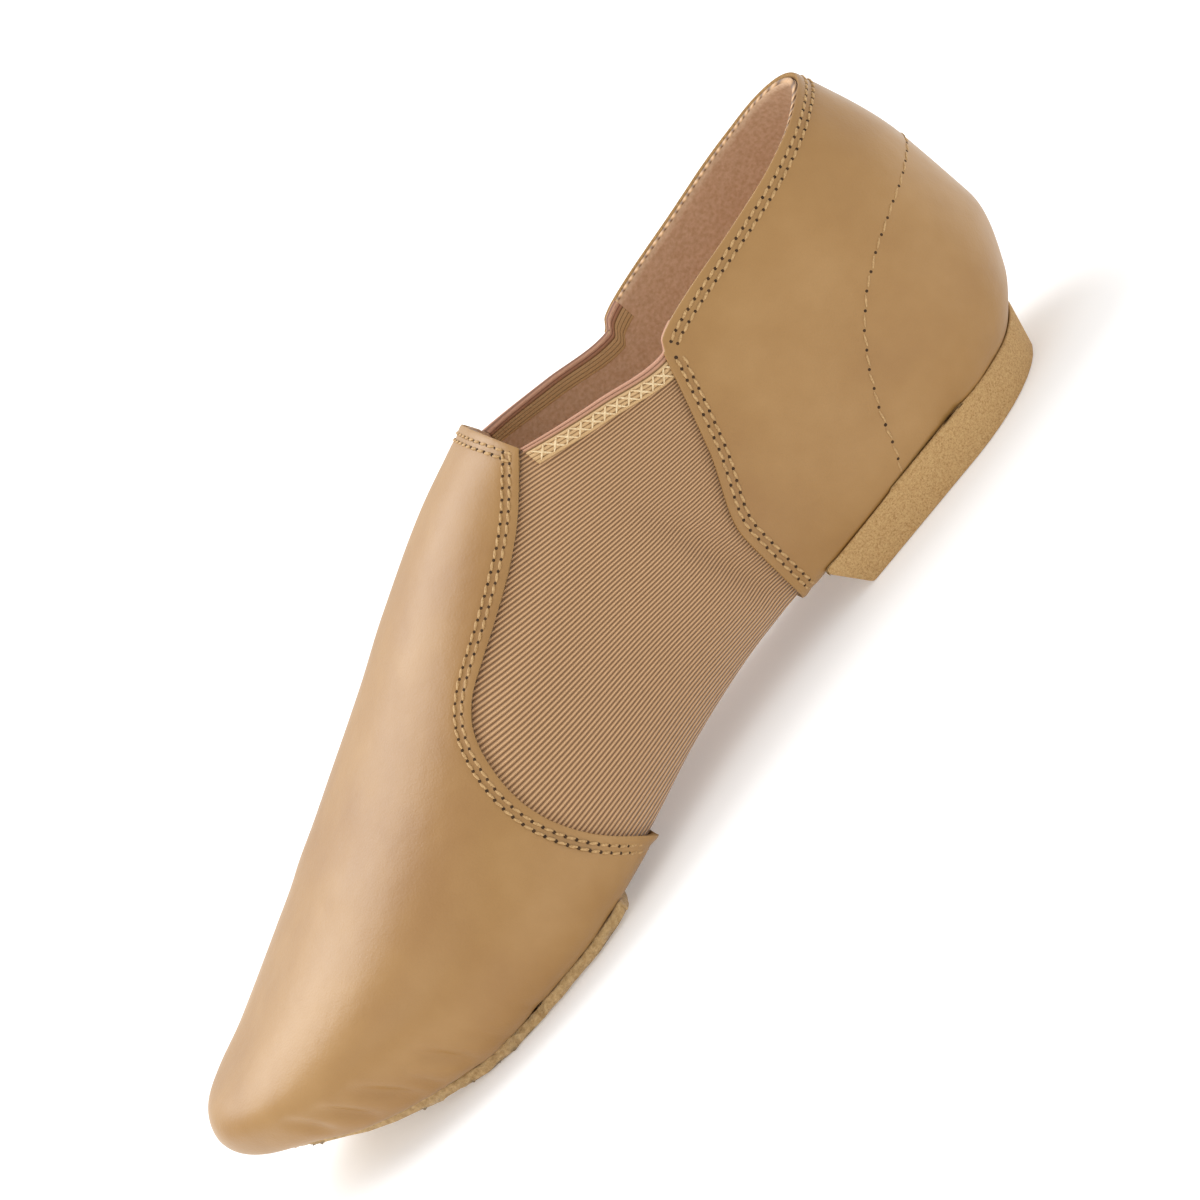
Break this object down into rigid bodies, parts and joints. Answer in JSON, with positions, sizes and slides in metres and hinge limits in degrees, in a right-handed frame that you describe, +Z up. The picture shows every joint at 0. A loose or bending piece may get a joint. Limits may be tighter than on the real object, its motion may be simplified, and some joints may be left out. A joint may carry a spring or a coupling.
{
  "type": "jazz shoe",
  "caption": "Left slip-on jazz shoe in smooth tan leather with a ribbed stretch insert at the waist, elastic bindings, a split suede sole and a low heel.",
  "frame": {"origin": "middle of the shoe's outline, on the floor", "axes": "+X towards the toe, +Y towards the outer (little toe) side, +Z up"},
  "size_m": [0.245, 0.0856, 0.0796],
  "materials": {
    "stretch": "ribbed stretch, matt",
    "leather": "smooth tan, soft sheen",
    "binding": "corded elastic, matt",
    "suede": "rough suede",
    "heel": "speckled, matt",
    "insole": "matt"
  },
  "bodies": {
    "root": {"upper": "stretch", "vamp": "leather", "heel_quarter": "leather", "binding_lateral": "binding", "binding_medial": "binding", "forefoot_sole": "suede", "heel_block": "heel", "insole": "insole"}
  },
  "joints": []
}
